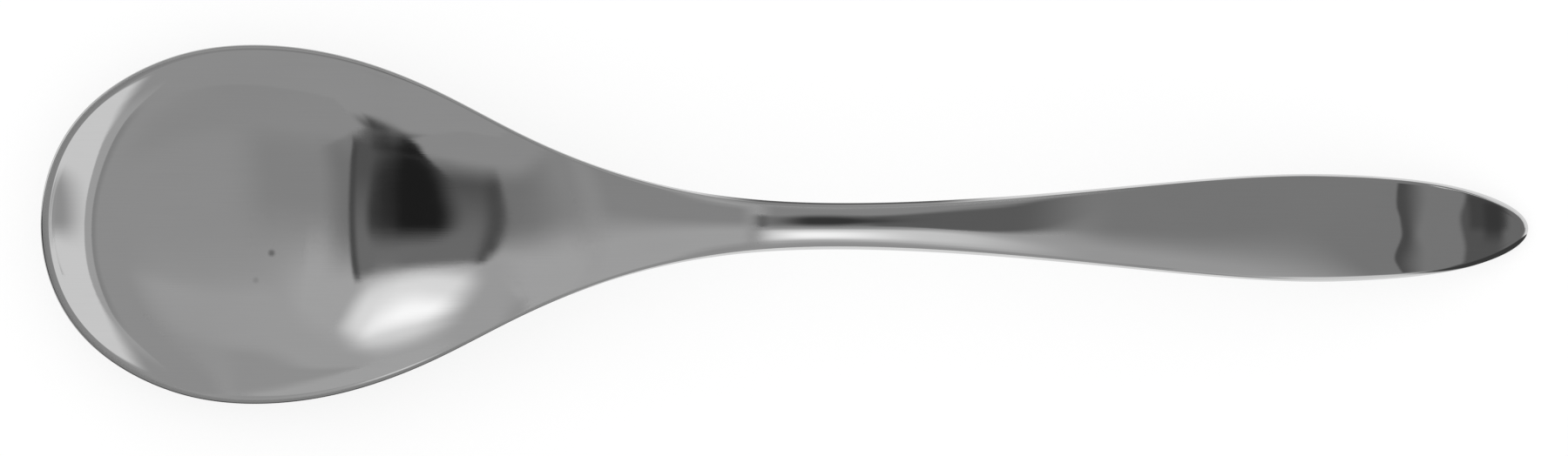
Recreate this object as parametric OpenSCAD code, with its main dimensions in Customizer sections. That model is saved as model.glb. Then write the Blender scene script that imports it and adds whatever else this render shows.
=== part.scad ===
// Serving spoon, made from one blank of stainless steel.
// The bowl's tip points to -X and the handle's end to +X. The table is at z = 0.

/* [Overall] */
// Length from the bowl's tip to the handle's end
overall_length = 228; // [205:1:250]

/* [Bowl] */
// Width of the bowl at its widest
bowl_width = 55; // [46:0.5:62]
// Distance from the bowl's tip to its widest place
bowl_front = 33; // [28:0.5:38]
// Distance from the bowl's tip to its deepest place
deepest_place = 35; // [30:0.5:40]
// Radius of the bowl's tip, seen from above
bowl_tip_radius = 28; // [24:0.5:34]
// Depth of the hollow below the rim, at the widest place
bowl_depth = 8.8; // [7:0.2:11]
// Height of the rim at the tip, above the rim at the widest place
tip_lift = -0.2; // [-1.5:0.1:1.5]
// Thickness of the steel in the bowl's floor
floor_thick = 1.6; // [1.2:0.1:2.4]
// Thickness of the steel at the bowl's rim
rim_thick = 1.5; // [1.2:0.1:2]
// Width of the flat land on the rim, at the bowl's tip
tip_land = 1.15; // [0.7:0.05:1.4]
// Width of the flat land on the rim, at the bowl's sides
side_land = 0.75; // [0.4:0.05:1]

/* [Stem] */
// Distance from the bowl's tip to the stem's narrowest place
waist_place = 123.5; // [112:0.5:132]
// Width of the stem at its narrowest
waist_width = 7.1; // [6:0.1:9]
// Thickness in the middle of the stem, where it is narrowest
waist_thick = 4.5; // [3.6:0.1:5.4]
// Thickness of the stem's side, where it is narrowest
waist_side = 1.9; // [1.6:0.1:2.4]
// Rise of the stem's rounded top above its sides
waist_crown = 1.1; // [0.6:0.1:1.6]
// Height of the stem's top above the bowl's floor, where it is narrowest
waist_rise = 20.6; // [15:0.2:23]

/* [Handle] */
// Distance from the bowl's tip to the top of the handle's arch
arch_place = 140; // [136:0.5:150]
// Height of the arch's top above the stem's narrowest place
arch_rise = 0.5; // [0.2:0.1:1.2]
// Width of the handle at its widest
handle_width = 16.5; // [13:0.5:20]
// Distance from the handle's widest place to its end
handle_back = 33; // [26:0.5:40]
// Radius of the handle's end, seen from above
handle_tip_radius = 2.2; // [1.6:0.1:3]
// Thickness in the middle of the handle, where it is widest
handle_thick = 2.5; // [2:0.1:3.2]
// Thickness of the handle's side, where it is widest
handle_side = 1.8; // [1.4:0.1:2.4]
// Rise of the handle's middle above its sides
handle_crown = 0.45; // [0.2:0.05:0.8]
// Thickness of the handle at its end
end_thick = 1.7; // [1.4:0.1:2.2]
// Height of the top face at the handle's end, which lets its underside meet the table
end_height = 1.55; // [1.3:0.05:2]

/* [Hidden] */

// Distance over which the outline rounds off, at the tip and at the end
tip_reach = 12;
end_reach = 8;
// How far in from the tip and from the end the sections meet as a fan
tip_fan = 9;
end_fan = 5;
// Softness of the corner between the land and the hollow
land_blend = 0.12;
// Width of the ring of faces inside the land, and its share at the tip and at the end
ring_width = 1.2;
ring_end_share = 0.35;
// Distance from either end at which the faces' slopes are taken
end_gap = 0.001;

// The outline's points between the named widths, zone by zone from the bowl's tip,
// as [share of the zone's length, share of the half width or of its change]
front_outline_shares = [[0.33, 0.765], [0.66, 0.95]];
neck_outline_shares = [[0.15, 0.074], [0.3, 0.28], [0.45, 0.568], [0.6, 0.797], [0.8, 0.962]];
grip_outline_shares = [[0.25, 0.14], [0.5, 0.446], [0.75, 0.807]];
end_outline_shares = [[0.33, 0.948], [0.66, 0.775], [0.88, 0.49]];

// The middle of the top face, as [share of the zone's length, share of the change in height]
front_height_shares = [[0.12, 0.369], [0.25, 0.663], [0.4, 0.843], [0.65, 0.959]];
neck_height_shares = [
    [0.06, 0.024], [0.14, 0.106], [0.27, 0.304], [0.4, 0.502], [0.52, 0.666], [0.7, 0.847]
];
arch_height_shares = [[0.28, 0.092], [0.45, 0.23], [0.62, 0.415], [0.78, 0.63], [0.91, 0.835]];

// The rim above the middle line, as [share of the neck's length, share of the bowl's depth],
// and then the sides below the middle line, as shares of the neck's length and the stem's crown
neck_hollow_shares = [[0.14, 0.93], [0.27, 0.735], [0.4, 0.44], [0.52, 0.15], [0.62, 0]];
neck_crown_shares = [[0.74, 0.8], [0.86, 0.98]];
grip_places_shares = [0, 0.25, 0.5, 0.75, 1];
end_places_shares = [0.33, 0.66];

// The middle's thickness along the neck and grip, as [share of the length, share of the change]
neck_thick_shares = [[0.25, 0.09], [0.6, 0.42]];
grip_thick_shares = [[0.5, 0.62]];

// How much flatter than a parabola a section is, at the bowl, the stem and the handle
bowl_fullness_share = 0.45;
waist_fullness_share = 0;
handle_fullness_share = 0.5;

// Radius of the round edges, as a share of the steel's thickness there and at most of the edge's height
rim_corner_share = 0.26;
stem_corner_share = 0.43;
edge_corner_share = 0.42;
// Share of the neck's length over which the land runs out
land_end_share = 0.8;

// Sections round the bowl's front, along the neck and grip, and round the handle's end
front_steps = 14;
middle_steps = 58;
end_steps = 12;
// Faces from the middle line to the ring, and round each edge
across_steps = 6;
corner_steps = 2;
quarter_turn = 90;

handle_place = overall_length - handle_back;
half_bowl = bowl_width / 2;
half_waist = waist_width / 2;
half_handle = handle_width / 2;
rim_height = floor_thick + bowl_depth;
tip_height = rim_height + tip_lift;
waist_height = floor_thick + waist_rise;
arch_height = waist_height + arch_rise;

function mix(a, b, share) = a + (b - a) * share;
function smooth(share) =
    let (c = max(0, min(1, share)))
    c * c * c * (c * (6 * c - 15) + 10);
// How far x is along a zone, from 0 to 1
function along(from, to, x) = smooth((x - from) / (to - from));
// Points of a zone, from shares of its length and of its change in value
function zone(from, to, value_from, value_to, shares) =
    [for (s = shares) [mix(from, to, s[0]), mix(value_from, value_to, s[1])]];

// Rates of change of the slope, at the points of a cubic spline that is smooth throughout.
// Each end takes its neighbour's.
function bends(points) =
    let (
        last = len(points) - 1,
        gap = [for (i = [0:last - 1]) points[i + 1][0] - points[i][0]],
        rise = [for (i = [0:last - 1]) (points[i + 1][1] - points[i][1]) / gap[i]],
        middle = [for (i = [1:last - 1])
            2 * (gap[i - 1] + gap[i]) + (i == 1 ? gap[0] : 0) + (i == last - 1 ? gap[i] : 0)],
        pull = [for (i = [1:last - 1]) 6 * (rise[i] - rise[i - 1])],
        // Forward sweep, each entry as [factor of the next bend, right-hand side]
        swept = [for (
            i = 0, pivot = middle[0], row = [gap[1] / pivot, pull[0] / pivot];
            i < last - 1;
            i = i + 1,
            pivot = i < last - 1 ? middle[i] - gap[i] * row[0] : 1,
            row = i < last - 1 ? [gap[i + 1] / pivot, (pull[i] - gap[i] * row[1]) / pivot] : row
        ) row],
        back = [for (
            i = last - 2, bend = swept[last - 2][1];
            i >= 0;
            i = i - 1,
            bend = i >= 0 ? swept[i][1] - swept[i][0] * bend : 0
        ) bend],
        inner = [for (i = [last - 2:-1:0]) back[i]]
    )
    concat([inner[0]], inner, [inner[last - 2]]);

// A curve holds its points and their bends
function curve(points) = [points, bends(points)];
// Number of the curve's piece that holds x
function piece(points, x) = len([for (i = [1:len(points) - 2]) if (points[i][0] <= x) i]);

// Value and slope of a curve at x
function value(curve, x) =
    let (
        i = piece(curve[0], x),
        a = curve[0][i],
        b = curve[0][i + 1],
        gap = b[0] - a[0],
        v = (x - a[0]) / gap,
        u = 1 - v
    )
    u * a[1] + v * b[1]
        + ((u * u * u - u) * curve[1][i] + (v * v * v - v) * curve[1][i + 1]) * gap * gap / 6;
function slope(curve, x) =
    let (
        i = piece(curve[0], x),
        a = curve[0][i],
        b = curve[0][i + 1],
        gap = b[0] - a[0],
        v = (x - a[0]) / gap,
        u = 1 - v
    )
    (b[1] - a[1]) / gap
        + ((3 * v * v - 1) * curve[1][i + 1] - (3 * u * u - 1) * curve[1][i]) * gap / 6;

// Outline, seen from above: x is measured from the bowl's tip. The half width is a gentle curve
// times the square root of the opening, which rounds off both ends.
function opening(x) = (1 - exp(-x / tip_reach)) * (1 - exp((x - overall_length) / end_reach));
function opening_slope(x) =
    let (
        at_tip = exp(-x / tip_reach),
        at_end = exp((x - overall_length) / end_reach)
    )
    at_tip / tip_reach * (1 - at_end) - (1 - at_tip) * at_end / end_reach;

outline_points = concat(
    zone(0, bowl_front, 0, half_bowl, front_outline_shares),
    [[bowl_front, half_bowl]],
    zone(bowl_front, waist_place, half_bowl, half_waist, neck_outline_shares),
    [[waist_place, half_waist]],
    zone(waist_place, handle_place, half_waist, half_handle, grip_outline_shares),
    [[handle_place, half_handle]],
    zone(handle_place, overall_length, 0, half_handle, end_outline_shares)
);
breadth = curve(concat(
    [[0, sqrt(2 * bowl_tip_radius * tip_reach)]],
    [for (p = outline_points) [p[0], p[1] / sqrt(opening(p[0]))]],
    [[overall_length, sqrt(2 * handle_tip_radius * end_reach)]]
));

// The half width squared, and its slope
function width_squared(x) = pow(value(breadth, x), 2) * max(0, opening(x));
function width_squared_slope(x) =
    let (b = value(breadth, x))
    2 * b * slope(breadth, x) * opening(x) + b * b * opening_slope(x);

// Side view: the height of the top face along its middle
middle_line = curve(concat(
    [[0, tip_height]],
    zone(0, deepest_place, tip_height, floor_thick, front_height_shares),
    [[deepest_place, floor_thick]],
    zone(deepest_place, waist_place, floor_thick, waist_height, neck_height_shares),
    [[waist_place, waist_height], [arch_place, arch_height]],
    zone(arch_place, overall_length, arch_height, end_height, arch_height_shares),
    [[overall_length, end_height]]
));

// How far the grip's sides lie below its middle
function grip_crown(x) =
    x < handle_place
        ? mix(waist_crown, handle_crown, along(waist_place, handle_place, x))
        : handle_crown * width_squared(x) / width_squared(handle_place);
// Points of the side line, which lies above the middle line by shares of a rise
function beside(shares, rise) = [for (s = shares)
    let (x = mix(deepest_place, waist_place, s[0]))
    [x, value(middle_line, x) + rise * s[1]]];
grip_places = concat(
    [for (s = grip_places_shares) mix(waist_place, handle_place, s)],
    [for (s = end_places_shares) mix(handle_place, overall_length, s)]
);
// Side view: the height of the rim and of the handle's sides
side_line = curve(concat(
    [[0, tip_height], [bowl_front / 2, (tip_height + rim_height) / 2], [bowl_front, rim_height]],
    beside(neck_hollow_shares, bowl_depth),
    beside(neck_crown_shares, -waist_crown),
    [for (x = grip_places) [x, value(middle_line, x) - grip_crown(x)]],
    [[overall_length, end_height]]
));

// Thickness of the steel along the middle and along the sides
middle_thick = curve(concat(
    [[0, rim_thick], [deepest_place, floor_thick]],
    zone(deepest_place, waist_place, floor_thick, waist_thick, neck_thick_shares),
    [[waist_place, waist_thick]],
    zone(waist_place, handle_place, waist_thick, handle_thick, grip_thick_shares),
    [[handle_place, handle_thick], [overall_length, end_thick]]
));
side_thick = curve([
    [0, rim_thick],
    [bowl_front, rim_thick],
    [(bowl_front + waist_place) / 2, rim_thick],
    [waist_place, waist_side],
    [handle_place, handle_side],
    [overall_length, end_thick]
]);

function fullness(x) =
    x < waist_place
        ? mix(bowl_fullness_share, waist_fullness_share, along(bowl_front, waist_place, x))
        : mix(waist_fullness_share, handle_fullness_share, along(waist_place, handle_place, x));

// The top face at a point, as [height, length of its upright normal, share of the way across]
function top_face(x, y) =
    let (
        at = max(end_gap, min(overall_length - end_gap, x)),
        squared = width_squared(at),
        rise = value(side_line, at) - value(middle_line, at),
        full = fullness(at),
        across = min(1, y * y / squared),
        share = across * (1 - full + full * across),
        share_slope = 1 - full + 2 * full * across,
        slope_x = mix(slope(middle_line, at), slope(side_line, at), share)
            - rise * share_slope * across * width_squared_slope(at) / squared,
        slope_y = rise * share_slope * 2 * y / squared
    )
    [value(middle_line, at) + rise * share, norm([slope_x, slope_y, 1]), across];

// Height of the underside at a point. It lies one thickness below the top face, square to it,
// and under the rim's land the slope is taken from beside the land.
function under_height(p, level) =
    let (top = top_face(level[0], level[1]))
    top_face(p[0], p[1])[0]
        - mix(value(middle_thick, level[0]), value(side_thick, level[0]), top[2]) * top[1];

// A point of the outline, and the direction inwards from it
function rim_point(x) = [x, sqrt(width_squared(x))];
function inwards(x) =
    let (lean = [width_squared_slope(x), -2 * rim_point(x)[1]])
    lean / norm(lean);

// Width of the flat land and radius of the round edges at x
function land(x) =
    mix(tip_land, side_land, along(0, bowl_front, x))
        * (1 - along(bowl_front, mix(bowl_front, waist_place, land_end_share), x));
function corner(x) =
    value(side_thick, x) * mix(rim_corner_share, stem_corner_share, along(bowl_front, waist_place, x));
// How much a round edge takes off at a distance in from the outline
function corner_drop(radius, in) = in < radius ? radius - sqrt(in * (2 * radius - in)) : 0;
// The larger of two lengths, with a soft corner between them
function soft_max(a, b) = (a + b + norm([a - b, 2 * land_blend])) / 2;

// Where a section meets the middle line
function middle_place(x) =
    x < bowl_front ? x + tip_fan * pow(1 - x / bowl_front, 2)
    : x > handle_place ? x - end_fan * pow((x - handle_place) / handle_back, 2)
    : x;

// Points of a section, from the middle of the top face round the side to the middle underneath
function section(x) =
    let (
        rim = rim_point(x),
        inner = inwards(x),
        flat = land(x),
        level_edge = rim + inner * flat,
        edge = top_face(level_edge[0], level_edge[1])[0] - under_height(rim, level_edge),
        radius = min(corner(x), edge * edge_corner_share),
        wide = max(flat, radius),
        middle = [middle_place(x), 0],
        ring = rim + inner * (wide + ring_width * mix(ring_end_share, 1, rim[1] / half_bowl)),
        across = [for (i = [0:across_steps]) mix(middle, ring, i / across_steps)],
        round_ins = [for (i = [0:corner_steps]) radius * (1 - sin(quarter_turn * i / corner_steps))],
        // Where the land has run out, this place still lies further in than the edge's round
        land_bend = max(wide - land_blend, radius + land_blend / 2),
        top_ins = concat([wide + 2 * land_blend, land_bend], round_ins)
    )
    concat(
        [for (p = across) [p[0], p[1], top_face(p[0], p[1])[0]]],
        [for (in = top_ins)
            let (
                p = rim + inner * in,
                level = rim + inner * soft_max(in, flat)
            )
            [p[0], p[1], top_face(level[0], level[1])[0] - corner_drop(radius, in)]],
        [for (i = [corner_steps:-1:0])
            let (
                p = rim + inner * round_ins[i],
                level = rim + inner * soft_max(round_ins[i], flat)
            )
            [p[0], p[1], under_height(p, level) + corner_drop(radius, round_ins[i])]],
        [for (i = [across_steps:-1:0])
            let (p = across[i])
            [p[0], p[1], under_height(p, p)]]
    );

// Places of the sections along one side, from the bowl's tip to the handle's end
places = concat(
    [for (i = [0:front_steps - 1]) bowl_front * (1 - cos(quarter_turn * i / front_steps))],
    [for (i = [0:middle_steps - 1]) mix(bowl_front, handle_place, i / middle_steps)],
    [for (i = [0:end_steps]) handle_place + handle_back * sin(quarter_turn * i / end_steps)]
);
last_place = len(places) - 1;
sections = [for (x = places) section(x)];
section_size = len(sections[0]);
lowest = min([for (points = sections) for (p = points) p[2]]);

// The other side is the mirror image. It shares the points on the middle line, and the whole
// sections at the tip and at the end, so the two sides close into one ring of sections.
ring_size = 2 * last_place;
other_side = [for (i = [last_place - 1:-1:1]) [for (p = sections[i]) [p[0], -p[1], p[2]]]];
spoon_points = [for (points = concat(sections, other_side)) for (p = points)
    [p[0] - overall_length / 2, p[1], p[2] - lowest]];
// Index of point k of section i
function point_index(i, k) =
    let (
        wrapped = i % ring_size,
        on_middle = k == 0 || k == section_size - 1,
        row = on_middle && wrapped > last_place ? ring_size - wrapped : wrapped
    )
    row * section_size + k;
// The two sides match, and no face lies flat in the middle plane at the tip or at the end
spoon_faces = [for (i = [0:ring_size - 1]) for (k = [0:section_size - 2])
    let (
        a = point_index(i, k),
        b = point_index(i + 1, k),
        c = point_index(i + 1, k + 1),
        d = point_index(i, k + 1),
        mirrored = i >= last_place,
        near_tip = min(i, ring_size - 1 - i) < last_place / 2,
        on_top = k < section_size / 2
    )
    each (near_tip == on_top) != mirrored ? [[a, c, b], [a, d, c]] : [[a, d, b], [b, d, c]]];

module spoon() {
    color("lightslategray") polyhedron(points = spoon_points, faces = spoon_faces, convexity = 6);
}

spoon();
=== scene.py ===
from math import atan, pi, sqrt

import bpy
import numpy as np
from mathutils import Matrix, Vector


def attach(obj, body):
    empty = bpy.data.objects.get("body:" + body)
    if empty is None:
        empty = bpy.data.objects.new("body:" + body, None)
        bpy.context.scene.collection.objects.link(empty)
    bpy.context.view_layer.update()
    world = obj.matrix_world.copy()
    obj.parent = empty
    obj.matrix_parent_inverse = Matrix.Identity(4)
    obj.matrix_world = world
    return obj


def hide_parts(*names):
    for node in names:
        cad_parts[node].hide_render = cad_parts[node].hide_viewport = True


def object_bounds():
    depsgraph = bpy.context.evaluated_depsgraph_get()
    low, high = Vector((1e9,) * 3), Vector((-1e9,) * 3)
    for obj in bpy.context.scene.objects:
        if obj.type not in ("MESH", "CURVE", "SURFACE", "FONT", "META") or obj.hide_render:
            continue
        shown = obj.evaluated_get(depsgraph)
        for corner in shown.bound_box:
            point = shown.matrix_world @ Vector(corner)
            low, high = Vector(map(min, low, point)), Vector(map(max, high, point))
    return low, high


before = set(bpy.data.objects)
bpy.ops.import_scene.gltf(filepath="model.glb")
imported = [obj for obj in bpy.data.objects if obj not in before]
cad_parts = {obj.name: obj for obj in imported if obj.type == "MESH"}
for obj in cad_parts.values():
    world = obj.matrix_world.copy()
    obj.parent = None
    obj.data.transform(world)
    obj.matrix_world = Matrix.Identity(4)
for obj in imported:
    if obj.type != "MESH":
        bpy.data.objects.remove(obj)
CAD_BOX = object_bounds()

# Sizes and places below are in millimetres, and MM turns them into the scene's metres
MM = 0.001

# Driving sizes of the spoon, measured from the bowl's tip
OVERALL_LENGTH = (CAD_BOX[1].x - CAD_BOX[0].x) / MM
BOWL_WIDTH = (CAD_BOX[1].y - CAD_BOX[0].y) / MM
BOWL_FRONT = 33
DEEPEST_PLACE = 35
BOWL_TIP_RADIUS = 28
BOWL_DEPTH = 8.8
TIP_LIFT = -0.2
FLOOR_THICK = 1.6
RIM_THICK = 1.5
TIP_LAND = 1.15
SIDE_LAND = 0.75
WAIST_PLACE = 123.5
WAIST_WIDTH = 7.1
WAIST_THICK = 4.5
WAIST_SIDE = 1.9
WAIST_CROWN = 1.1
WAIST_RISE = 20.6
ARCH_PLACE = 140
ARCH_RISE = 0.5
HANDLE_WIDTH = 16.5
HANDLE_BACK = 33
HANDLE_TIP_RADIUS = 2.2
HANDLE_THICK = 2.5
HANDLE_SIDE = 1.8
HANDLE_CROWN = 0.45
END_THICK = 1.7
END_HEIGHT = 1.55
# How far from each end the outline opens, and how far the sections fan out there
TIP_REACH = 12
END_REACH = 8
TIP_FAN = 9
END_FAN = 5
# Half the width of the soft bend beside the rim's land, and the width of the ring inside it
LAND_BLEND = 0.12
RING_WIDTH = 1.2
RING_END_SHARE = 0.35
# Distance from either end at which the faces' slopes are taken
END_GAP = 0.001

# Points between the driving sizes, as shares of each zone's length and of its change
FRONT_OUTLINE_SHARES = [(0.33, 0.765), (0.66, 0.95)]
NECK_OUTLINE_SHARES = [(0.15, 0.074), (0.3, 0.28), (0.45, 0.568), (0.6, 0.797), (0.8, 0.962)]
GRIP_OUTLINE_SHARES = [(0.25, 0.14), (0.5, 0.446), (0.75, 0.807)]
END_OUTLINE_SHARES = [(0.33, 0.948), (0.66, 0.775), (0.88, 0.49)]
FRONT_HEIGHT_SHARES = [(0.12, 0.369), (0.25, 0.663), (0.4, 0.843), (0.65, 0.959)]
NECK_HEIGHT_SHARES = [(0.06, 0.024), (0.14, 0.106), (0.27, 0.304), (0.4, 0.502), (0.52, 0.666),
                      (0.7, 0.847)]
ARCH_HEIGHT_SHARES = [(0.28, 0.092), (0.45, 0.23), (0.62, 0.415), (0.78, 0.63), (0.91, 0.835)]
NECK_HOLLOW_SHARES = [(0.14, 0.93), (0.27, 0.735), (0.4, 0.44), (0.52, 0.15), (0.62, 0)]
NECK_CROWN_SHARES = [(0.74, 0.8), (0.86, 0.98)]
GRIP_PLACES_SHARES = [0, 0.25, 0.5, 0.75, 1]
END_PLACES_SHARES = [0.33, 0.66]
NECK_THICK_SHARES = [(0.25, 0.09), (0.6, 0.42)]
GRIP_THICK_SHARES = [(0.5, 0.62)]
# How much flatter than a parabola the sections are
BOWL_FULL_SHARE = 0.45
WAIST_FULL_SHARE = 0
HANDLE_FULL_SHARE = 0.5
# Radius of the round edges, as shares of the side's thickness and, at most, of the edge's height
RIM_CORNER_SHARE = 0.26
STEM_CORNER_SHARE = 0.43
EDGE_CORNER_SHARE = 0.42
# Where the rim's land has run out, as a share of the way from the bowl's widest place to the waist
LAND_END_SHARE = 0.8

# Fineness of the visible mesh
FRONT_STEPS = 60
MIDDLE_STEPS = 230
END_STEPS = 48
ACROSS_STEPS = 26
CORNER_STEPS = 6
# Columns of points beside the rim, from the ring outward: shares of the way to the bend, shares of
# LAND_BLEND in the bend, and shares of the way over the land
SHOULDER_SHARES = (0.4, 0.75, 1)
BEND_SHARES = (1, 0.4, -0.4, -1)
OVER_LAND_SHARES = (0.3, 0.65)
# How far inside the edge's round the columns of bend and land stay, as shares of LAND_BLEND
ORDER_SHARES = (0.9, 0.7, 0.5, 0.35, 0.2, 0.1)
# How much of the rim's painted shade and added roughness the columns of bend and land have
RIM_SHADE_AND_ROUGHNESS_SHARES = (0, 0.3, 0.7, 1, 1, 1)

# The steel's noise: cells per metre along X, Y and Z, detail and roughness
FINE_LINES = ((90, 5200, 0), 3, 0.6)
WIDE_LINES = ((30, 1100, 0), 2, 0.5)
CLOUDS = ((60, 110, 110), 3, 0.5)
# Share of the fine lines among the lines, and of the clouds in the steel's grey
FINE_SHARE = 0.6
CLOUDS_SHARE = 0.5
# Between which values of the noise the roughness changes, and the roughness at either end
LINES_RANGE = (0.3, 0.7)
LINES_ROUGHNESS = (0.033, 0.045)
CLOUDS_RANGE = (0.35, 0.7)
CLOUDS_ROUGHNESS = (-0.005, 0.006)
# What the rim and the dull place add to the roughness
RIM_ROUGHNESS = 0.09
DULL_ROUGHNESS = 0.06
# Greys of the polished steel at low and high noise, of the rim's painted shade, of the wear marks
STEEL_LOW = (0.585, 0.585, 0.587, 1)
STEEL_HIGH = (0.655, 0.655, 0.655, 1)
RIM_PAINTED_SHADE_GREY = (0.52, 0.52, 0.52, 1)
MARK_GREY = (0.3, 0.3, 0.3, 1)
# Strength of the fine lines' relief and their depth
RELIEF_STRENGTH = 0.008
RELIEF_DEPTH = 0.2
# Where the hollow's duller place fades in and out along X, from the middle of the spoon
DULL_START = (-64.5, -62.2)
DULL_END = (-60.5, -57.5)
# Small dark wear marks in the hollow: X, Y, radius and strength, and a mark's even share
WEAR_MARKS = [(-78.8, -4.4, 0.8, 0.95), (-81.2, -8.6, 0.7, 0.35)]
MARK_CORE_SHARE = 0.15

# The floor: its reach, the grey that takes the shadow, and the light that makes it white
FLOOR_REACH = 3000
PAPER_GREY = (0.27, 0.27, 0.27, 1)
PAPER_GLOW = 0.75

# Heights of the cards: the far ones over everything, and low ones over and beside the spoon
CEILING = 350
OVER_BOWL = 60
OVER_NECK = 31
OVER_STEM = 38
OVER_HANDLE = 30
BESIDE_HANDLE = 23
BESIDE_END = 12.5
# Fineness of the curved cards, how far the flags reach under the spoon, and their height there
CARD_STEPS = 240
FLAG_UNDER = 3
FLAG_LIFT = 0.3

# The photograph: its size in pixels, a pixel's size, and where the spoon lies in it
PHOTO_WIDTH = 1800
PHOTO_HEIGHT = 524
PIXEL = 0.13345
TIP_PIXEL = 47.3
MIDDLE_LINE_PIXEL = 259.8
MIDDLE_LINE_LEAN = 0.00336
# The camera stands this far above the level at which a pixel has its size, and sees this range
CAMERA_DISTANCE = 3000
CAMERA_LEVEL = 6
CAMERA_RANGE = (100, 10000)
SENSOR_WIDTH = 36

# Sizes that follow from the driving sizes
HANDLE_PLACE = OVERALL_LENGTH - HANDLE_BACK
HALF_BOWL = BOWL_WIDTH / 2
HALF_WAIST = WAIST_WIDTH / 2
HALF_HANDLE = HANDLE_WIDTH / 2
RIM_HEIGHT = FLOOR_THICK + BOWL_DEPTH
TIP_HEIGHT = RIM_HEIGHT + TIP_LIFT
WAIST_HEIGHT = FLOOR_THICK + WAIST_RISE
ARCH_HEIGHT = WAIST_HEIGHT + ARCH_RISE


def mix(a, b, share):
    return a + (b - a) * share


def smooth(share):
    c = np.clip(share, 0, 1)
    return c * c * c * (c * (6 * c - 15) + 10)


def along(start, end, x):
    """How far x is along a zone, from 0 to 1."""
    return smooth((x - start) / (end - start))


def zone(start, end, value_start, value_end, shares):
    """Points of a zone, from shares of its length and of its change in value."""
    return [(mix(start, end, s[0]), mix(value_start, value_end, s[1])) for s in shares]


class Curve:
    """A cubic spline that is smooth throughout. Each end takes its neighbour's bend."""

    def __init__(self, points):
        self.x, self.y = np.array(points, float).T
        gap = np.diff(self.x)
        rise = np.diff(self.y) / gap
        count = len(self.x)
        rows = np.zeros((count, count))
        pull = np.zeros(count)
        rows[0, :2] = rows[-1, -2:] = 1, -1
        for i in range(1, count - 1):
            rows[i, i - 1:i + 2] = gap[i - 1], 2 * (gap[i - 1] + gap[i]), gap[i]
            pull[i] = 6 * (rise[i] - rise[i - 1])
        self.bend = np.linalg.solve(rows, pull)

    def place(self, x):
        i = np.clip(np.searchsorted(self.x, x, side="right") - 1, 0, len(self.x) - 2)
        gap = self.x[i + 1] - self.x[i]
        v = (x - self.x[i]) / gap
        return i, gap, v, 1 - v

    def value(self, x):
        i, gap, v, u = self.place(x)
        bend = (u**3 - u) * self.bend[i] + (v**3 - v) * self.bend[i + 1]
        return u * self.y[i] + v * self.y[i + 1] + bend * gap * gap / 6

    def slope(self, x):
        i, gap, v, u = self.place(x)
        bend = (3 * v * v - 1) * self.bend[i + 1] - (3 * u * u - 1) * self.bend[i]
        return (self.y[i + 1] - self.y[i]) / gap + bend * gap / 6


# Outline, seen from above: a gentle curve times the square root of the opening
def opening(x):
    return (1 - np.exp(-x / TIP_REACH)) * (1 - np.exp((x - OVERALL_LENGTH) / END_REACH))


def opening_slope(x):
    at_tip = np.exp(-x / TIP_REACH)
    at_end = np.exp((x - OVERALL_LENGTH) / END_REACH)
    return at_tip / TIP_REACH * (1 - at_end) - (1 - at_tip) * at_end / END_REACH


outline_points = (
    zone(0, BOWL_FRONT, 0, HALF_BOWL, FRONT_OUTLINE_SHARES)
    + [(BOWL_FRONT, HALF_BOWL)]
    + zone(BOWL_FRONT, WAIST_PLACE, HALF_BOWL, HALF_WAIST, NECK_OUTLINE_SHARES)
    + [(WAIST_PLACE, HALF_WAIST)]
    + zone(WAIST_PLACE, HANDLE_PLACE, HALF_WAIST, HALF_HANDLE, GRIP_OUTLINE_SHARES)
    + [(HANDLE_PLACE, HALF_HANDLE)]
    + zone(HANDLE_PLACE, OVERALL_LENGTH, 0, HALF_HANDLE, END_OUTLINE_SHARES)
)
breadth = Curve(
    [(0, sqrt(2 * BOWL_TIP_RADIUS * TIP_REACH))]
    + [(x, y / sqrt(opening(x))) for x, y in outline_points]
    + [(OVERALL_LENGTH, sqrt(2 * HANDLE_TIP_RADIUS * END_REACH))]
)


def width_squared(x):
    return breadth.value(x) ** 2 * np.maximum(0, opening(x))


def width_squared_slope(x):
    b = breadth.value(x)
    return 2 * b * breadth.slope(x) * opening(x) + b * b * opening_slope(x)


# Side view: the height of the top face along its middle, and of its sides
middle_line = Curve(
    [(0, TIP_HEIGHT)]
    + zone(0, DEEPEST_PLACE, TIP_HEIGHT, FLOOR_THICK, FRONT_HEIGHT_SHARES)
    + [(DEEPEST_PLACE, FLOOR_THICK)]
    + zone(DEEPEST_PLACE, WAIST_PLACE, FLOOR_THICK, WAIST_HEIGHT, NECK_HEIGHT_SHARES)
    + [(WAIST_PLACE, WAIST_HEIGHT), (ARCH_PLACE, ARCH_HEIGHT)]
    + zone(ARCH_PLACE, OVERALL_LENGTH, ARCH_HEIGHT, END_HEIGHT, ARCH_HEIGHT_SHARES)
    + [(OVERALL_LENGTH, END_HEIGHT)]
)


def grip_crown(x):
    """How far the handle's middle stands above its sides."""
    if x < HANDLE_PLACE:
        return mix(WAIST_CROWN, HANDLE_CROWN, along(WAIST_PLACE, HANDLE_PLACE, x))
    return HANDLE_CROWN * width_squared(x) / width_squared(HANDLE_PLACE)


def beside(shares, rise):
    """Points of the side line along the neck, above the middle line by shares of a rise."""
    places = [(mix(DEEPEST_PLACE, WAIST_PLACE, s[0]), s[1]) for s in shares]
    return [(x, middle_line.value(x) + rise * share) for x, share in places]


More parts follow.
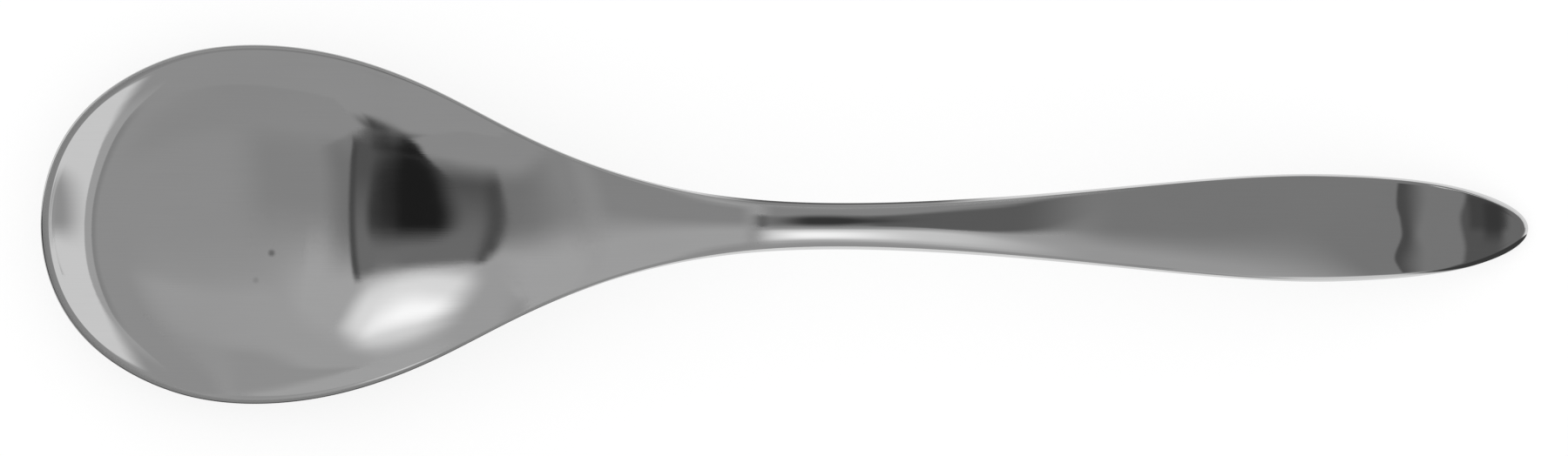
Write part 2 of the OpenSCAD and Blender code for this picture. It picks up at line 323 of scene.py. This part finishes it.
grip_places = [mix(WAIST_PLACE, HANDLE_PLACE, s) for s in GRIP_PLACES_SHARES]
grip_places += [mix(HANDLE_PLACE, OVERALL_LENGTH, s) for s in END_PLACES_SHARES]
side_line = Curve(
    [(0, TIP_HEIGHT), (BOWL_FRONT / 2, (TIP_HEIGHT + RIM_HEIGHT) / 2), (BOWL_FRONT, RIM_HEIGHT)]
    + beside(NECK_HOLLOW_SHARES, BOWL_DEPTH)
    + beside(NECK_CROWN_SHARES, -WAIST_CROWN)
    + [(x, middle_line.value(x) - grip_crown(x)) for x in grip_places]
    + [(OVERALL_LENGTH, END_HEIGHT)]
)
middle_thick = Curve(
    [(0, RIM_THICK), (DEEPEST_PLACE, FLOOR_THICK)]
    + zone(DEEPEST_PLACE, WAIST_PLACE, FLOOR_THICK, WAIST_THICK, NECK_THICK_SHARES)
    + [(WAIST_PLACE, WAIST_THICK)]
    + zone(WAIST_PLACE, HANDLE_PLACE, WAIST_THICK, HANDLE_THICK, GRIP_THICK_SHARES)
    + [(HANDLE_PLACE, HANDLE_THICK), (OVERALL_LENGTH, END_THICK)]
)
side_thick = Curve([
    (0, RIM_THICK),
    (BOWL_FRONT, RIM_THICK),
    ((BOWL_FRONT + WAIST_PLACE) / 2, RIM_THICK),
    (WAIST_PLACE, WAIST_SIDE),
    (HANDLE_PLACE, HANDLE_SIDE),
    (OVERALL_LENGTH, END_THICK),
])


def fullness(x):
    """How much flatter than a parabola a section is."""
    neck = mix(BOWL_FULL_SHARE, WAIST_FULL_SHARE, along(BOWL_FRONT, WAIST_PLACE, x))
    grip = mix(WAIST_FULL_SHARE, HANDLE_FULL_SHARE, along(WAIST_PLACE, HANDLE_PLACE, x))
    return np.where(x < WAIST_PLACE, neck, grip)


def top_face(x, y):
    """The top face at points: height, slopes along x and y, and share of the way across."""
    at = np.clip(x, END_GAP, OVERALL_LENGTH - END_GAP)
    squared = width_squared(at)
    rise = side_line.value(at) - middle_line.value(at)
    full = fullness(at)
    across = np.minimum(1, y * y / squared)
    share = across * (1 - full + full * across)
    share_slope = 1 - full + 2 * full * across
    slope_x = mix(middle_line.slope(at), side_line.slope(at), share)
    slope_x = slope_x - rise * share_slope * across * width_squared_slope(at) / squared
    slope_y = rise * share_slope * 2 * y / squared
    return middle_line.value(at) + rise * share, slope_x, slope_y, across


def top_height(x, y):
    return top_face(x, y)[0]


def upright_thick(x, y):
    """The thickness straight down, where the steel's own thickness is square to the top face."""
    slope_x, slope_y, across = top_face(x, y)[1:]
    thick = mix(middle_thick.value(x), side_thick.value(x), across)
    return thick * np.sqrt(slope_x**2 + slope_y**2 + 1)


def land(x):
    """Width of the flat land on the rim."""
    run_out = mix(BOWL_FRONT, WAIST_PLACE, LAND_END_SHARE)
    return mix(TIP_LAND, SIDE_LAND, along(0, BOWL_FRONT, x)) * (1 - along(BOWL_FRONT, run_out, x))


def corner(x):
    """Radius of the round edges."""
    share = mix(RIM_CORNER_SHARE, STEM_CORNER_SHARE, along(BOWL_FRONT, WAIST_PLACE, x))
    return side_thick.value(x) * share


def corner_drop(radius, inset):
    """How much a round edge takes off at a distance in from the outline."""
    inside = np.minimum(inset, radius)
    return radius - np.sqrt(inside * (2 * radius - inside))


def soft_max(a, b):
    """The larger of two lengths, with a soft corner between them."""
    return (a + b + np.hypot(a - b, 2 * LAND_BLEND)) / 2


def middle_place(x):
    """Where a section meets the middle line."""
    front = x + TIP_FAN * np.maximum(0, 1 - x / BOWL_FRONT) ** 2
    return front - END_FAN * np.maximum(0, (x - HANDLE_PLACE) / HANDLE_BACK) ** 2


def section_places():
    """Where the sections lie along the spoon, closer together towards both ends."""
    front = BOWL_FRONT * (1 - np.cos(pi / 2 * np.arange(FRONT_STEPS) / FRONT_STEPS))
    middle = mix(BOWL_FRONT, HANDLE_PLACE, np.arange(MIDDLE_STEPS) / MIDDLE_STEPS)
    end = HANDLE_PLACE + HANDLE_BACK * np.sin(pi / 2 * np.arange(END_STEPS + 1) / END_STEPS)
    return np.concatenate([front, middle, end])


def outline(x):
    """Points of one side's outline, and the directions in from it, square to it."""
    half = np.sqrt(width_squared(x))
    lean = np.stack([width_squared_slope(x), -2 * half], 1)
    return np.stack([x, half], 1), lean / np.linalg.norm(lean, axis=1)[:, None]


def sections():
    """All sections of one side, from the middle of the top face round to the middle underneath."""
    x = section_places()
    rim, inner = outline(x)
    flat = land(x)
    level_edge = rim + inner * flat[:, None]
    edge = top_height(*level_edge.T) - top_height(*rim.T) + upright_thick(*level_edge.T)
    radius = np.minimum(corner(x), edge * EDGE_CORNER_SHARE)
    wide = np.maximum(flat, radius)
    ring_in = wide + RING_WIDTH * mix(RING_END_SHARE, 1, rim[:, 1] / HALF_BOWL)
    ring = rim + inner * ring_in[:, None]
    middle = np.stack([middle_place(x), 0 * x], 1)

    def level_point(inset):
        point = rim + inner * inset[:, None]
        level = rim + inner * soft_max(inset, flat)[:, None]
        return np.stack([*point.T, top_height(*level.T) - corner_drop(radius, inset)], 1)

    # The underside below the land takes its thickness from beside the land
    def under_point(inset):
        point = rim + inner * inset[:, None]
        level = rim + inner * soft_max(inset, flat)[:, None]
        height = top_height(*point.T) - upright_thick(*level.T)
        return np.stack([*point.T, height + corner_drop(radius, inset)], 1)

    across = [mix(middle, ring, i / ACROSS_STEPS) for i in range(ACROSS_STEPS + 1)]
    shoulder = [mix(ring_in, wide + 2 * LAND_BLEND, share) for share in SHOULDER_SHARES]
    bend = [wide + LAND_BLEND * share for share in BEND_SHARES]
    bend += [mix(wide - LAND_BLEND, radius, share) for share in OVER_LAND_SHARES]
    # Where the land has run out, the columns still follow each other out to the edge's round
    for inset, share in zip(bend, ORDER_SHARES):
        shoulder.append(np.maximum(inset, radius + LAND_BLEND * share))
    turns = [radius * (1 - np.sin(pi / 2 * i / CORNER_STEPS)) for i in range(CORNER_STEPS + 1)]
    columns = [np.stack([*p.T, top_height(*p.T)], 1) for p in across]
    columns += [level_point(inset) for inset in shoulder + turns]
    columns += [under_point(inset) for inset in reversed(turns)]
    columns += [np.stack([*p.T, top_height(*p.T) - upright_thick(*p.T)], 1)
                for p in reversed(across)]
    # The bowl's rim is rougher and darker by a painted shade, which the material shows
    on_rim = [0] * (len(across) + len(SHOULDER_SHARES)) + [*RIM_SHADE_AND_ROUGHNESS_SHARES]
    on_rim += [1] * (2 * len(turns)) + [0] * len(across)
    rim_share = np.outer(1 - along(BOWL_FRONT, WAIST_PLACE, x), on_rim)
    return np.stack(columns, 1), rim_share


def spoon_mesh():
    """Points and four-cornered faces of the whole spoon. The two sides share the middle line."""
    side, rim_share = sections()
    rows, size = side.shape[:2]
    points = side.reshape(-1, 3)
    index = np.zeros((2 * rows - 2, size), int)
    index[:rows] = np.arange(rows * size).reshape(rows, size)
    mirrored = side[1:-1, 1:-1] * (1, -1, 1)
    other = rows * size + np.arange((rows - 2) * (size - 2)).reshape(rows - 2, size - 2)
    index[rows:, 1:-1] = other[::-1]
    index[rows:, 0] = index[rows - 2:0:-1, 0]
    index[rows:, -1] = index[rows - 2:0:-1, -1]
    points = np.concatenate([points, mirrored.reshape(-1, 3)])
    rim_share = np.concatenate([rim_share.ravel(), rim_share[1:-1, 1:-1].ravel()])
    following = np.roll(index, -1, 0)
    faces = np.stack([index[:, :-1], index[:, 1:], following[:, 1:], following[:, :-1]], -1)
    low, high = points.min(0), points.max(0)
    low_box, high_box = (np.array(corner) for corner in CAD_BOX)
    points = low_box + (points - low) / (high - low) * (high_box - low_box)
    return points, faces.reshape(-1, 4), rim_share


def mesh_object(name, points, faces):
    mesh = bpy.data.meshes.new(name)
    mesh.from_pydata([tuple(p) for p in points], [], [tuple(f) for f in faces])
    mesh.validate()
    mesh.polygons.foreach_set("use_smooth", [True] * len(mesh.polygons))
    made = bpy.data.objects.new(name, mesh)
    bpy.context.scene.collection.objects.link(made)
    return made


class Nodes:
    """Short words for making a material's or the world's nodes."""

    def __init__(self, owner):
        owner.use_nodes = True
        self.tree = owner.node_tree
        self.tree.nodes.clear()

    def add(self, kind, inputs=None, **settings):
        node = self.tree.nodes.new(kind)
        for name, value in settings.items():
            setattr(node, name, value)
        for name, value in (inputs or {}).items():
            if isinstance(value, bpy.types.NodeSocket):
                self.tree.links.new(value, node.inputs[name])
            else:
                node.inputs[name].default_value = value
        return node

    def math(self, operation, a, b=0.0):
        return self.add("ShaderNodeMath", {0: a, 1: b}, operation=operation).outputs[0]

    def noise(self, vector, cells, detail, roughness):
        """Noise with so many cells to the metre along each axis."""
        place = self.add("ShaderNodeMapping", {"Vector": vector, "Scale": cells}).outputs[0]
        inputs = {"Vector": place, "Scale": 1, "Detail": detail, "Roughness": roughness}
        return self.add("ShaderNodeTexNoise", inputs).outputs["Fac"]

    def ramp(self, value, low, high, to_low, to_high):
        """A value that goes softly from one end to the other between two limits."""
        inputs = {"Value": value, "From Min": low, "From Max": high,
                  "To Min": to_low, "To Max": to_high}
        return self.add("ShaderNodeMapRange", inputs, interpolation_type="SMOOTHSTEP").outputs[0]

    def blend(self, share, a, b):
        """A colour between two others."""
        inputs = {"Factor": share, "A": a, "B": b}
        return self.add("ShaderNodeMix", inputs, data_type="RGBA").outputs["Result"]


def steel_material():
    """Polished steel with fine lines along it, a rougher rim with painted shade and small wear
    marks.
    """
    material = bpy.data.materials.new("polished_steel")
    n = Nodes(material)
    place = n.add("ShaderNodeTexCoord").outputs["Object"]
    parts = n.add("ShaderNodeSeparateXYZ", {0: place})
    rim = n.add("ShaderNodeAttribute", attribute_name="rim").outputs["Fac"]
    # Fine polishing lines run along X, at two widths
    fine, wide, clouds = (n.noise(place, *kind) for kind in (FINE_LINES, WIDE_LINES, CLOUDS))
    lines = n.math("ADD", n.math("MULTIPLY", fine, FINE_SHARE),
                   n.math("MULTIPLY", wide, 1 - FINE_SHARE))
    rough = n.ramp(lines, *LINES_RANGE, *LINES_ROUGHNESS)
    rough = n.math("ADD", rough, n.ramp(clouds, *CLOUDS_RANGE, *CLOUDS_ROUGHNESS))
    rough = n.math("ADD", rough, n.math("MULTIPLY", rim, RIM_ROUGHNESS))
    # The polishing wheel left the rear of the hollow duller, where the bowl turns up to the neck
    starts = n.ramp(parts.outputs[0], *(MM * at for at in DULL_START), 0, 1)
    ends = n.ramp(parts.outputs[0], *(MM * at for at in DULL_END), 1, 0)
    dull = n.math("MULTIPLY", n.math("MULTIPLY", starts, ends), DULL_ROUGHNESS)
    rough = n.math("ADD", rough, dull)
    marks = 0.0
    for x, y, size, strength in WEAR_MARKS:
        off = [n.math("SUBTRACT", parts.outputs[axis], MM * at) for axis, at in enumerate((x, y))]
        squares = [n.math("MULTIPLY", way, way) for way in off]
        away = n.math("SQRT", n.math("ADD", *squares))
        mark = n.ramp(away, MM * size * MARK_CORE_SHARE, MM * size, strength, 0)
        marks = n.math("ADD", marks, mark)
    fine_part = n.math("MULTIPLY", fine, 1 - CLOUDS_SHARE)
    shade = n.math("ADD", n.math("MULTIPLY", clouds, CLOUDS_SHARE), fine_part)
    polished = n.blend(shade, STEEL_LOW, STEEL_HIGH)
    # The rim's darker grey is painted shade; only its added roughness belongs to the steel
    marked = n.blend(marks, n.blend(rim, polished, RIM_PAINTED_SHADE_GREY), MARK_GREY)
    relief = {"Strength": RELIEF_STRENGTH, "Distance": MM * RELIEF_DEPTH, "Height": fine}
    shader = n.add("ShaderNodeBsdfPrincipled", {
        "Metallic": 1.0,
        "Base Color": marked,
        "Roughness": rough,
        "Normal": n.add("ShaderNodeBump", relief).outputs[0],
    })
    n.add("ShaderNodeOutputMaterial", {"Surface": shader.outputs[0]})
    return material


def floor_material():
    """White paper: plain to the camera and in the steel, and still shaded by the spoon."""
    material = bpy.data.materials.new("white_paper")
    n = Nodes(material)
    path = n.add("ShaderNodeLightPath")
    seen = n.math("MAXIMUM", path.outputs["Is Camera Ray"], path.outputs["Is Glossy Ray"])
    seen = n.math("MAXIMUM", seen, path.outputs["Is Transmission Ray"])
    paper = n.add("ShaderNodeBsdfDiffuse", {"Color": PAPER_GREY}).outputs[0]
    glow = n.math("MULTIPLY", seen, PAPER_GLOW)
    white = n.add("ShaderNodeEmission", {"Strength": glow}).outputs[0]
    both = n.add("ShaderNodeAddShader", {0: paper, 1: white})
    n.add("ShaderNodeOutputMaterial", {"Surface": both.outputs[0]})
    return material


def card_material(name, radiance, soft):
    """Even light or dark of a card, which fades in from the edges that are soft."""
    material = bpy.data.materials.new(name)
    n = Nodes(material)
    cover = None
    for layer, edges in (("across", soft[:2]), ("along", soft[2:])):
        shares = n.add("ShaderNodeUVMap", uv_map=layer).outputs[0]
        inside = n.add("ShaderNodeSeparateXYZ", {0: shares})
        for share, is_soft in zip(inside.outputs, edges):
            if is_soft:
                fade = n.ramp(share, 0, 1, 0, 1)
                cover = fade if cover is None else n.math("MULTIPLY", cover, fade)
    surface = n.add("ShaderNodeEmission", {"Strength": radiance}).outputs[0]
    if cover is not None:
        clear = n.add("ShaderNodeBsdfTransparent").outputs[0]
        surface = n.add("ShaderNodeMixShader", {0: cover, 1: clear, 2: surface}).outputs[0]
    n.add("ShaderNodeOutputMaterial", {"Surface": surface})
    material.cycles.emission_sampling = "NONE"
    return material


def sheet(name, points, inside, radiance, soft):
    """A card that only the steel shows.

    Each point has its distances in from the four edges, as shares of their soft widths."""
    rows, columns = points.shape[:2]
    index = np.arange(rows * columns).reshape(rows, columns)
    faces = np.stack([index[:-1, :-1], index[:-1, 1:], index[1:, 1:], index[1:, :-1]], -1)
    made = mesh_object(name, points.reshape(-1, 3) * MM, faces.reshape(-1, 4))
    corners = np.zeros(len(made.data.loops), int)
    made.data.loops.foreach_get("vertex_index", corners)
    inside = inside.reshape(-1, 4)[corners].astype(np.float32)
    for layer, values in (("across", inside[:, :2]), ("along", inside[:, 2:])):
        made.data.uv_layers.new(name=layer).data.foreach_set("uv", values.ravel())
    made.data.materials.append(card_material(name, radiance, soft))
    for way in ("camera", "diffuse", "transmission", "volume_scatter", "shadow"):
        setattr(made, "visible_" + way, False)


def by_place(value, places):
    """A value at each place: the same everywhere, or from points (place, value) of a curve."""
    return Curve(value).value(places) if isinstance(value, list) else 0 * places + value


def moved(edge, by):
    """The points (place, value) of an edge, moved to one side."""
    return [(place, value + by) for place, value in edge]


def card(name, height, span, low, high, radiance, soft=(0, 0, 0, 0), turned=False):
    """A level card over the spoon. Its span lies along Y, and its edges are places in X.

    Turned, its span lies along X, and its edges are places in Y. The soft widths are those of
    the low edge, the high edge and the span's two ends."""
    place = np.linspace(*span, CARD_STEPS + 1)
    a, b = by_place(low, place), by_place(high, place)
    sides = [(place, edge) if turned else (edge, place) for edge in (a, b)]
    points = np.stack([np.stack([x, y, 0 * x + height], 1) for x, y in sides], 1)
    wide = (b - a) / [by_place(width or 1, place) for width in soft[:2]]
    start, end = (place - span[0]) / (soft[2] or 1), (span[1] - place) / (soft[3] or 1)
    inside = [(0 * a, wide[1], start, end), (wide[0], 0 * a, start, end)]
    inside = np.stack([np.stack(shares, 1) for shares in inside], 1)
    sheet(name, points, inside, radiance, soft)


def flag(name, side, span, reach, top, radiance, soft):
    """A low card beside the spoon's edge, which lies out along the table and then stands up.

    Its span is measured from the bowl's tip. The soft widths are those of its upper end and of
    the span's two ends."""
    x = np.linspace(*span, CARD_STEPS + 1)
    rim, inner = outline(np.clip(x, END_GAP, OVERALL_LENGTH - END_GAP))
    near = rim + inner * FLAG_UNDER
    far = rim - inner * reach
    low = 0 * x + FLAG_LIFT
    rows = [*near.T, low], [*far.T, low], [*far.T, low + top]
    points = np.stack([np.stack(row, 1) for row in rows], 1)
    points[:, :, 0] -= OVERALL_LENGTH / 2
    points[:, :, 1] *= side
    start, end = (x - span[0]) / soft[1], (span[1] - x) / soft[2]
    depths = [(reach + FLAG_UNDER + top) / soft[0], top / soft[0], 0]
    inside = np.stack([np.stack([0 * x, 0 * x + depth, start, end], 1) for depth in depths], 1)
    sheet(name, points, inside, radiance, (0, *soft))


def spoon():
    """The spoon that shows, in place of the plain solid."""
    points, faces, rim_share = spoon_mesh()
    made = mesh_object("spoon_steel", points, faces)
    # The rim share gives the rim its added roughness and its painted shade
    rim = made.data.attributes.new("rim", "FLOAT", "POINT")
    rim.data.foreach_set("value", rim_share.astype(np.float32))
    made.data.materials.append(steel_material())
    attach(made, "root")
    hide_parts("spoon")


def stage():
    """The floor, the white room and all the cards."""
    corners = np.array([(-1, -1, 0), (1, -1, 0), (1, 1, 0), (-1, 1, 0)])
    floor = mesh_object("floor", corners * FLOOR_REACH * MM, [(0, 1, 2, 3)])
    floor.data.materials.append(floor_material())
    world = bpy.data.worlds.new("white_room")
    bpy.context.scene.world = world
    n = Nodes(world)
    background = n.add("ShaderNodeBackground", {"Color": (1, 1, 1, 1), "Strength": 1.0})
    n.add("ShaderNodeOutputWorld", {"Surface": background.outputs[0]})
    ceiling_cards()
    front_cards()
    rear_cards()
    neck_cards()
    stem_cards()
    handle_cards()
    flags()


# The places of the cards are in millimetres from the middle of the spoon. They were chosen so
# that each card's edges show in the steel where the photograph's tones change. Of two cards that
# a ray meets, the lower one shows, so a card that lies over another is the plainer one behind it.
def ceiling_cards():
    """The pale grey ceiling, a little lighter on the +Y side and behind the bowl."""
    far = 9000
    card("ceiling", CEILING, (-far, far), -far, far, radiance=0.415)
    card("ceiling_light_side", CEILING - 1, (-20, far), -far, 60,
         radiance=0.475, soft=(0, 140, 170, 0))
    card("ceiling_light_rear", CEILING - 1.5, (-10, far), -far, -90,
         radiance=0.55, soft=(0, 130, 110, 0))
    card("neck_dim", CEILING - 1.7, (-420, 40), -400, -60,
         radiance=0.35, soft=(60, 60, 220, 80))
    card("neck_light", CEILING - 2, (-20, 400), -330, -188,
         radiance=0.55, soft=(60, 20, 120, 100))


def front_cards():
    """The window that the front of the bowl shows as a crescent."""
    far = 6000
    pale = [(-1000, 215), (-640, 190), (-486, 195), (-260, 197), (-112, 243), (-13, 300), (66, 295),
            (190, 252), (330, 235), (560, 215), (1100, 240)]
    bright = [(-far, 1750), (-4300, 1250), (-1950, 560), (-1400, 440), (-800, 330), (-500, 275),
              (-302, 290), (-110, 336), (-14, 384), (73, 378), (215, 330), (400, 268), (560, 262),
              (918, 330), (1380, 450), (2500, 850), (far, 2000)]
    soft = [(-far, 400), (-1950, 300), (-900, 200), (-500, 110), (-250, 30), (-100, 14), (0, 14),
            (200, 20), (350, 60), (600, 160), (1300, 280), (2500, 350), (far, 400)]
    shade = [(-700, 1500), (-300, 700), (-100, 330), (80, 330)]
    card("front_line", CEILING - 2, (-600, 500), moved(pale, -70), moved(pale, 4),
         radiance=0.345, soft=(60, 4, 300, 300))
    card("front_pale", CEILING - 3, (-1000, 1100), pale, 1200,
         radiance=0.52, soft=(10, 0, 600, 650))
    card("front_window", CEILING - 4, (-far, far), bright, far,
         radiance=0.9, soft=(soft, 0, 0, 0))
    card("front_shade", CEILING - 5, (-700, 80), shade, 3200,
         radiance=0.43, soft=(480, 0, 330, 95))


def rear_cards():
    """What the rear of the bowl shows twice, before and behind its steepest place."""
    far = -2500
    edge = [(-230, -357), (-193, -346), (-137, -326.5), (-77, -311), (-19, -303), (24, -305),
            (71, -315), (115, -330)]
    dark = [(-240, -428), (-207, -409), (-176, -389), (-151, -373), (-122, -358), (-97, -347),
            (-65, -336), (-16, -325), (18, -329), (50, -346)]
    light = [(70, -334), (88, -332), (135, -326), (165, -320), (214, -316), (290, -316),
             (350, -340), (423, -372), (570, -440), (850, -570), (1300, -760)]
    softer = [(70, 48), (88, 50), (135, 58), (165, 60), (214, 66), (290, 88), (350, 100),
              (423, 120), (570, 150), (850, 220), (1300, 300)]
    lamp = [(100, -380), (170, -386), (283, -396), (374, -420), (480, -450)]
    tail = [(-440, -466), (-356, -455), (-308, -445), (-279, -437), (-248, -427), (-215, -411),
            (-185, -398), (-150, -386)]
    card("rear_haze", CEILING - 2.5, (-300, 110), far, -235,
         radiance=0.26, soft=(0, 70, 210, 130))
    card("rear_grey", CEILING - 3, (-240, 112), far, edge,
         radiance=0.125, soft=(0, 2, 50, 48))
    card("rear_grey_light", CEILING - 4, (-110, 116), far, edge,
         radiance=0.22, soft=(0, 2, 150, 50))
    card("rear_edge", CEILING - 5, (-215, 118), moved(edge, -16), edge,
         radiance=0.095, soft=(9, 3, 50, 30))
    card("rear_dark", CEILING - 6, (-240, 50), far, dark,
         radiance=0.018, soft=(0, 20, 24, 52))
    card("rear_light", CEILING - 7, (70, 1300), far, light,
         radiance=1.08, soft=(0, softer, 75, 1050))
    card("rear_lamp", CEILING - 8, (110, 480), far, lamp,
         radiance=1.52, soft=(0, 62, 70, 200))
    card("tail_haze", CEILING - 9, (-400, -160), moved(tail, -42), moved(tail, 76),
         radiance=0.13, soft=(32, 56, 110, 60))
    card("rear_tail", CEILING - 10, (-425, -150), moved(tail, -23), moved(tail, 24),
         radiance=0.015, soft=(11, 14, 130, 50))
    # Lower cards, each in front of the far ones for one of the two sides
    cover = [(-64, -122), (-48, -120.5), (-40, -120.2), (-36, -120.2), (-33, -119.8), (-31, -118.8),
             (-27, -115.2), (-23, -112.2), (-19, -108.2), (-9, -96)]
    side = [(5, -87), (9, -88.5), (14, -95), (18, -100), (23, -105), (30, -112), (38, -119),
            (50, -129), (66, -142), (85, -160), (134, -202), (190, -247)]
    blur = [(5, 3), (9, 4), (14, 8), (18, 12), (23, 14), (30, 16), (40, 17), (60, 19), (100, 26),
            (190, 40)]
    dim = [(26, -92), (36, -92), (51, -100), (75, -112), (109, -142), (190, -222)]
    card("tail_cover", OVER_BOWL, (-64, -9), cover, -66,
         radiance=0.39, soft=(2.4, 16, 6, 15))
    card("rear_side", OVER_BOWL, (5, 190), side, -74,
         radiance=0.505, soft=(blur, 12, 6, 60))
    card("rear_side_dim", OVER_BOWL - 1, (26, 190), dim, -70,
         radiance=0.435, soft=(14, 16, 20, 60))


def neck_cards():
    """Two low cards over the neck, lighter on the -Y side."""
    edge = [(-43, -2), (-23, -2.7), (-6, -3.4)]
    blur = [(-43, 4), (-23, 5.5), (-6, 7)]
    card("neck_lower", OVER_NECK + 1, (-43, -6), -14, 14,
         radiance=0.53, soft=(5, 0, 10, 4), turned=True)
    card("neck_upper", OVER_NECK, (-43, -6), edge, 14,
         radiance=0.35, soft=(blur, 5, 10, 4), turned=True)


def stem_cards():
    """Small cards close over the stem: greys, a dark lens and wedge, and a bright streak."""
    card("stem_lower", OVER_STEM + 2, (-9, 190), -32, 32,
         radiance=0.48, soft=(14, 14, 4, 0), turned=True)
    card("stem_upper", OVER_STEM + 1.5, (-9, 60), -3.5, 32,
         radiance=0.345, soft=(3.5, 14, 4, 16), turned=True)
    low = [(6, -1.5), (13, -0.9), (19, -1.4), (27, -3.4), (35, -4.8), (43, -4.2), (52, -0.5),
           (66, 6)]
    high = [(6, 15), (13, 14), (19, 15), (27, 16), (35, 16), (43, 18), (56, 22), (66, 24)]
    blur = [(6, 3), (35, 3), (45, 6), (66, 12)]
    card("stem_wedge", OVER_STEM + 1, (6, 66), low, high,
         radiance=0.155, soft=(blur, 5, 8, 30), turned=True)
    card("stem_grey", OVER_STEM + 0.5, (-16, 12), -1.5, 12,
         radiance=0.24, soft=(4, 5, 8, 8), turned=True)
    card("stem_line", OVER_STEM - 1, (-9, -5.4), -2, 11,
         radiance=0.19, soft=(3, 5, 1.8, 1.8), turned=True)
    low = [(-7, 1), (5, -1.5), (15, 1), (25, 2)]
    high = [(-7, 9), (5, 15), (15, 11), (25, 10)]
    card("stem_dark", OVER_STEM, (-7, 25), low, high,
         radiance=0.055, soft=(5, 8, 8, 18), turned=True)
    high = [(-10, -2), (16, -1.8), (27, -2), (36, -3.2), (52, -4)]
    blur = [(-10, 3.5), (27, 4), (36, 6), (52, 7)]
    card("stem_streak", OVER_STEM - 1.5, (-10, 52), -18, high,
         radiance=0.87, soft=(8, blur, 6, 32), turned=True)
    card("stem_lamp", OVER_STEM - 2, (-8, 22), -15, -2.8,
         radiance=1.42, soft=(6, 4.5, 9, 20), turned=True)


def handle_cards():
    """Cards over and beside the handle: a broad shade, and the dark bands near its end."""
    low = [(38, -4.5), (60, -9), (80, -12), (100, -22), (115, -32), (190, -32)]
    blur = [(38, 6), (60, 9), (80, 12), (100, 20), (115, 14), (190, 14)]
    card("handle_shade", OVER_HANDLE + 6, (38, 190), low, 32,
         radiance=0.28, soft=(blur, 14, 18, 0), turned=True)
    low = [(30, 10.5), (75, 10.5), (95, 13.5), (118, 13.5)]
    card("handle_beside", BESIDE_HANDLE, (30, 118), low, 80,
         radiance=0.28, soft=(1, 20, 20, 0), turned=True)
    card("end_beside", BESIDE_END, (89, 128), 12, 80,
         radiance=0.28, soft=(1, 20, 6, 6), turned=True)
    low = [(-14, 113.5), (-12.2, 112.7), (-9.7, 111.4), (-7.5, 110.6), (-5.5, 110.7), (-3.3, 111.5),
           (-1.4, 112.1), (0.5, 111.9), (2.2, 111.6), (4.2, 111), (6.5, 110.9), (13, 111.8)]
    high = [(-14, 120.5), (-7.5, 119.5), (-4, 118.8), (-1.4, 117.6), (1, 118.2), (5, 119.5),
            (13, 120)]
    blur = [(-14, 7), (-4, 6), (-1.4, 4), (1, 5), (5, 7), (13, 7)]
    card("end_line", OVER_HANDLE + 1, (-14, 13), low, high,
         radiance=0.105, soft=(0.9, blur, 0, 0))
    low = [(-25, 129), (-9, 128), (-3, 127.5), (2.5, 126.2), (6, 127.4), (25, 128)]
    card("end_dark", OVER_HANDLE, (-25, 25), low, 144,
         radiance=0.13, soft=(2.2, 5, 0, 0))
    card("end_tip", OVER_HANDLE + 1, (-25, 25), 134, 190,
         radiance=0.21, soft=(6, 0, 0, 0))
    card("end_dark_side", OVER_HANDLE - 1, (-1.5, 12), 127.5, 143.5,
         radiance=0.085, soft=(3, 4, 2.5, 4))
    card("end_dark_spot", OVER_HANDLE - 2, (-5, 9), 131, 140,
         radiance=0.06, soft=(3.5, 3, 6, 3.5))


def flags():
    """Low dark cards beside the spoon, which its round edges show as fine dark lines."""
    flag("bowl_flag", -1, (0.5, 88), reach=16, top=22, radiance=0.12, soft=(14, 12, 14))
    flag("stem_flag", 1, (98, 150), reach=9, top=30, radiance=0.15, soft=(16, 12, 14))
    flag("end_flag", -1, (215, 227.9), reach=14, top=20, radiance=0.06, soft=(6, 5, 0.1))


def camera():
    """The photograph's camera, straight above the spoon."""
    middle = (PHOTO_WIDTH / 2 - TIP_PIXEL) * PIXEL - OVERALL_LENGTH / 2
    aside = (MIDDLE_LINE_PIXEL - PHOTO_HEIGHT / 2) * PIXEL
    data = bpy.data.cameras.new("camera")
    data.sensor_width = SENSOR_WIDTH
    data.lens = SENSOR_WIDTH * CAMERA_DISTANCE / (PHOTO_WIDTH * PIXEL)
    data.clip_start, data.clip_end = (MM * distance for distance in CAMERA_RANGE)
    made = bpy.data.objects.new("camera", data)
    made.location = (middle * MM, aside * MM, (CAMERA_LEVEL + CAMERA_DISTANCE) * MM)
    made.rotation_euler = (0, 0, atan(MIDDLE_LINE_LEAN))
    bpy.context.scene.collection.objects.link(made)
    bpy.context.scene.camera = made


bpy.context.scene.view_settings.view_transform = "Standard"
camera()
spoon()
stage()
